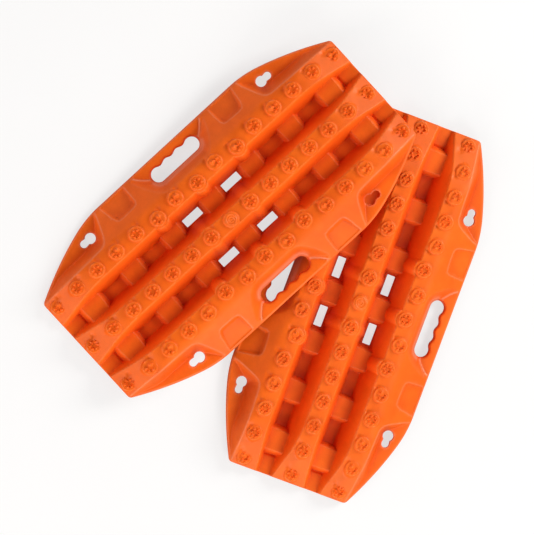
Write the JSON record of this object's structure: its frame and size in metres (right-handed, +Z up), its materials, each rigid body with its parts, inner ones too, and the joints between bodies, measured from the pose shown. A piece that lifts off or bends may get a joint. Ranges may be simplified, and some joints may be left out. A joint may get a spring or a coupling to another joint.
{
  "type": "tire traction mat pair",
  "caption": "Compact moulded vehicle recovery boards with three studded ridges, cross blocks, finger-grip handles and keyholes, one leaning on the other.",
  "frame": {"origin": "middle of the pair's overall footprint (bounding box bottom centre), on the ground", "axes": "+X along the lower board's length, +Y towards the side the upper board lies on, +Z up"},
  "size_m": [0.699, 0.642, 0.1162],
  "materials": {
    "lower_board_plastic": "satin, finely textured moulded nylon",
    "upper_board_plastic": "satin, finely textured moulded nylon"
  },
  "bodies": {
    "lower_board": {"lower_board": "lower_board_plastic"},
    "upper_board": {"upper_board": "upper_board_plastic"}
  },
  "joints": [
    {"name": "upper_board_lift", "type": "slide", "parent": "lower_board", "child": "upper_board", "axis": [0, 0, 1], "range_m": [0, 0.25]}
  ]
}
